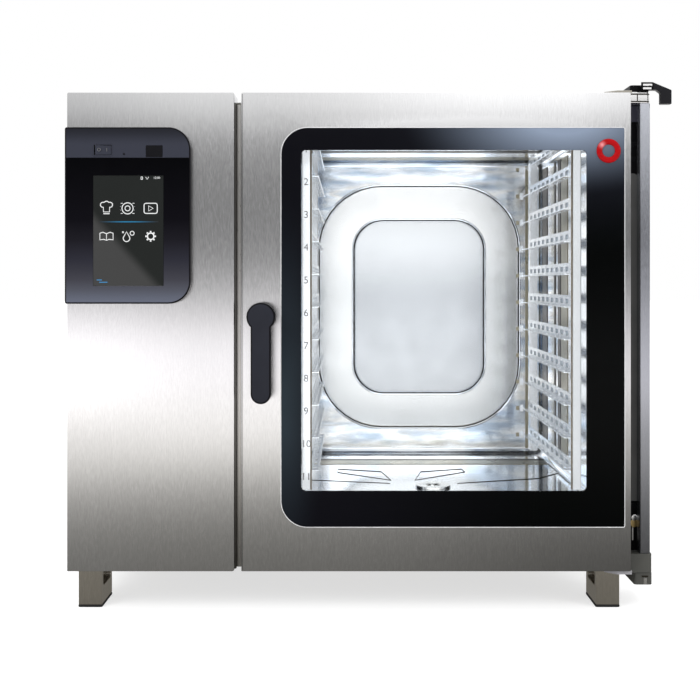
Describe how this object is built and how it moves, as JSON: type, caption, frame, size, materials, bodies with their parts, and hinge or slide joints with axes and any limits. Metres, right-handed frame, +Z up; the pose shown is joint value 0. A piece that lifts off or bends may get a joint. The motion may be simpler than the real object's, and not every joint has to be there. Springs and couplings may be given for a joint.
{
  "type": "combi steamer oven",
  "caption": "Table-top combi steamer oven with a glazed side-hinged door, lever handle, touch control panel, tray racks, fan chamber, rear services and box feet.",
  "frame": {"origin": "middle of the bounding box's base, on the floor under the feet", "axes": "+X towards the oven's right side (the hinge side), +Y from the door to the rear panel, +Z up"},
  "size_m": [1.205, 1.052, 1.058],
  "materials": {
    "brushed_steel": "satin",
    "polished_steel": "polished",
    "aluminium": "satin",
    "motor_alloy": "matte",
    "black_metal": "satin",
    "dark_cover": "matte",
    "heater_metal": "matte",
    "panel_black": "gloss",
    "display_glass": "gloss",
    "lever_black": "satin",
    "handle_grey": "satin",
    "rubber_black": "matte",
    "board_green": "matte",
    "contactor_grey": "matte",
    "mineral_wool": "matte",
    "brass": "satin",
    "outer_glass": "gloss",
    "inner_glass": "gloss",
    "badge_red": "gloss"
  },
  "bodies": {
    "oven_body": {"base_tray": "brushed_steel", "left_side_panel": "brushed_steel", "right_side_panel": "brushed_steel", "rear_panel": "brushed_steel", "roof_panel": "brushed_steel", "front_frame": "brushed_steel", "left_front_cover": "brushed_steel", "water_injection_tube": "brushed_steel", "condensate_box": "brushed_steel", "drain_outlet": "brushed_steel", "exhaust_stub": "brushed_steel", "air_intake_stub": "brushed_steel", "latch_keeper": "brushed_steel", "foot_front_left": "brushed_steel", "foot_front_right": "brushed_steel", "foot_rear_left": "brushed_steel", "foot_rear_right": "brushed_steel", "oven_chamber": "polished_steel", "suction_panel": "polished_steel", "drain_strainer": "polished_steel", "left_rack": "polished_steel", "right_rack": "polished_steel", "upper_guide_rail": "aluminium", "lower_guide_rail": "aluminium", "fan_motor": "motor_alloy", "top_carriage": "black_metal", "bottom_carriage": "black_metal", "synchro_shaft_cover": "dark_cover", "heating_element": "heater_metal", "control_bezel": "panel_black", "touch_display": "display_glass", "cable_gland": "lever_black", "door_gasket": "rubber_black", "foot_pad_front_left": "rubber_black", "foot_pad_front_right": "rubber_black", "foot_pad_rear_left": "rubber_black", "foot_pad_rear_right": "rubber_black", "control_board": "board_green", "contactor_panel": "contactor_grey", "chamber_insulation": "mineral_wool", "water_inlet_valve": "brass"},
    "door": {"door_outer_frame": "brushed_steel", "door_outer_glass": "outer_glass", "door_inner_frame": "brushed_steel", "door_inner_glass": "inner_glass", "door_drip_tray": "polished_steel", "door_badge": "badge_red", "handle_escutcheon": "black_metal", "hinge_plate_top": "brushed_steel", "hinge_plate_bottom": "brushed_steel", "hinge_knuckle_top": "polished_steel", "hinge_knuckle_bottom": "black_metal", "hinge_pin_bottom": "polished_steel", "hinge_post": "aluminium"},
    "handle": {"door_handle": "handle_grey", "latch_spindle": "brushed_steel"},
    "fan": {"fan_wheel": "brushed_steel"},
    "lever": {"lock_lever": "lever_black"},
    "rocker": {"power_rocker": "lever_black"},
    "flap": {"usb_flap": "rubber_black"}
  },
  "joints": [
    {"name": "door_hinge", "type": "hinge", "parent": "oven_body", "child": "door", "pos_m": [0.5535, -0.421, 0.56], "axis": [0, 0, 1], "range_deg": [0, 90]},
    {"name": "handle_turn", "type": "hinge", "parent": "door", "child": "handle", "pos_m": [-0.2135, -0.496, 0.59], "axis": [0, -1, 0], "range_deg": [0, 90]},
    {"name": "fan_spin", "type": "hinge", "parent": "oven_body", "child": "fan", "pos_m": [-0.2225, 0.029, 0.59], "axis": [1, 0, 0], "continuous": true},
    {"name": "lock_lever_lift", "type": "hinge", "parent": "oven_body", "child": "lever", "pos_m": [0.5585, -0.444, 1.0485], "axis": [0, -1, 0], "range_deg": [0, 18], "stiffness_Nm_per_rad": 0.5},
    {"name": "power_rocker_tilt", "type": "hinge", "parent": "oven_body", "child": "rocker", "pos_m": [-0.527, -0.478, 0.918], "axis": [0, 0, 1], "range_deg": [-14, 0]},
    {"name": "usb_flap_lift", "type": "hinge", "parent": "oven_body", "child": "flap", "pos_m": [-0.426, -0.4865, 0.9267], "axis": [-1, 0, 0], "range_deg": [0, 110]}
  ]
}
